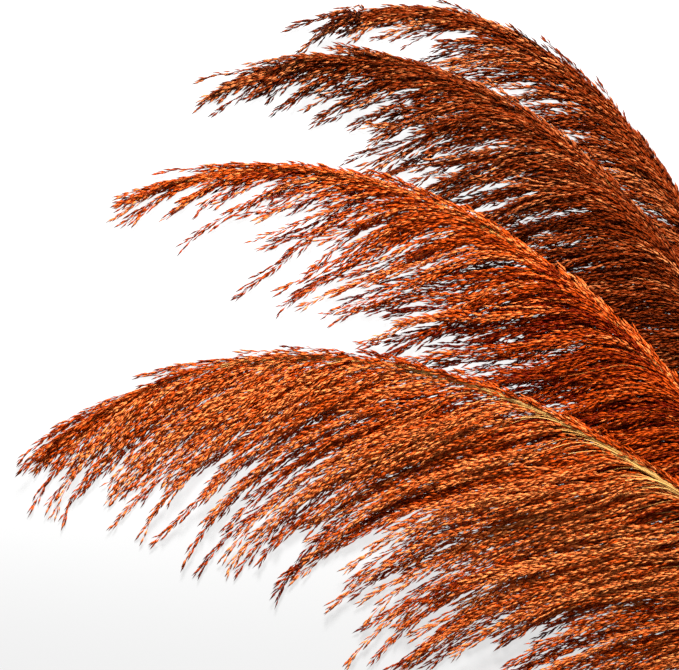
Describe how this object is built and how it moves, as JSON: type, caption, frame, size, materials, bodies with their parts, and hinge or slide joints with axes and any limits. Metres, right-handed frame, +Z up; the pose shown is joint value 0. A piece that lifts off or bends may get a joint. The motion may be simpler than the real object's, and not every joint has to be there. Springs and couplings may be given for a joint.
{
  "type": "dried pampas grass bundle",
  "caption": "Bunch of dyed rust-orange dried reed plumes, nodding to one side, tied round the stalks with twine and lying on its side.",
  "frame": {"origin": "middle of the bundle's footprint, on the surface that it lies on", "axes": "+X along the stalks from their cut ends to the plumes, +Y towards the side that the plumes nod to, +Z up"},
  "size_m": [1.1172, 0.6294, 0.0647],
  "materials": {
    "stalk_straw": "dry straw stalk, faintly ribbed, satin, stained by the dye",
    "plume_orange": "dyed dry spikelets, papery, burnt orange",
    "plume_russet": "dyed dry spikelets, papery, dark russet",
    "twine": "jute twine, two-ply, matt and hairy"
  },
  "bodies": {
    "root": {"back_plume_stalk": "stalk_straw", "back_plume_spray_01": "plume_russet", "back_plume_spray_02": "plume_russet", "back_plume_spray_03": "plume_russet", "back_plume_spray_04": "plume_russet", "back_plume_spray_05": "plume_russet", "back_plume_spray_06": "plume_russet", "back_plume_spray_07": "plume_russet", "back_plume_spray_08": "plume_russet", "back_plume_spray_09": "plume_russet", "back_plume_spray_10": "plume_russet", "back_plume_spray_11": "plume_russet", "back_plume_spray_12": "plume_russet", "back_plume_spray_13": "plume_russet", "third_plume_stalk": "stalk_straw", "third_plume_spray_01": "plume_russet", "third_plume_spray_02": "plume_russet", "third_plume_spray_03": "plume_russet", "third_plume_spray_04": "plume_russet", "third_plume_spray_05": "plume_russet", "third_plume_spray_06": "plume_russet", "third_plume_spray_07": "plume_russet", "third_plume_spray_08": "plume_russet", "third_plume_spray_09": "plume_russet", "third_plume_spray_10": "plume_russet", "third_plume_spray_11": "plume_russet", "third_plume_spray_12": "plume_russet", "third_plume_spray_13": "plume_russet", "second_plume_stalk": "stalk_straw", "second_plume_spray_01": "plume_orange", "second_plume_spray_02": "plume_orange", "second_plume_spray_03": "plume_orange", "second_plume_spray_04": "plume_orange", "second_plume_spray_05": "plume_orange", "second_plume_spray_06": "plume_orange", "second_plume_spray_07": "plume_orange", "second_plume_spray_08": "plume_orange", "second_plume_spray_09": "plume_orange", "second_plume_spray_10": "plume_orange", "second_plume_spray_11": "plume_orange", "second_plume_spray_12": "plume_orange", "second_plume_spray_13": "plume_orange", "front_plume_stalk": "stalk_straw", "front_plume_spray_01": "plume_orange", "front_plume_spray_02": "plume_orange", "front_plume_spray_03": "plume_orange", "front_plume_spray_04": "plume_orange", "front_plume_spray_05": "plume_orange", "front_plume_spray_06": "plume_orange", "front_plume_spray_07": "plume_orange", "front_plume_spray_08": "plume_orange", "front_plume_spray_09": "plume_orange", "front_plume_spray_10": "plume_orange", "front_plume_spray_11": "plume_orange", "front_plume_spray_12": "plume_orange", "front_plume_spray_13": "plume_orange", "twine_tie": "twine"}
  },
  "joints": []
}
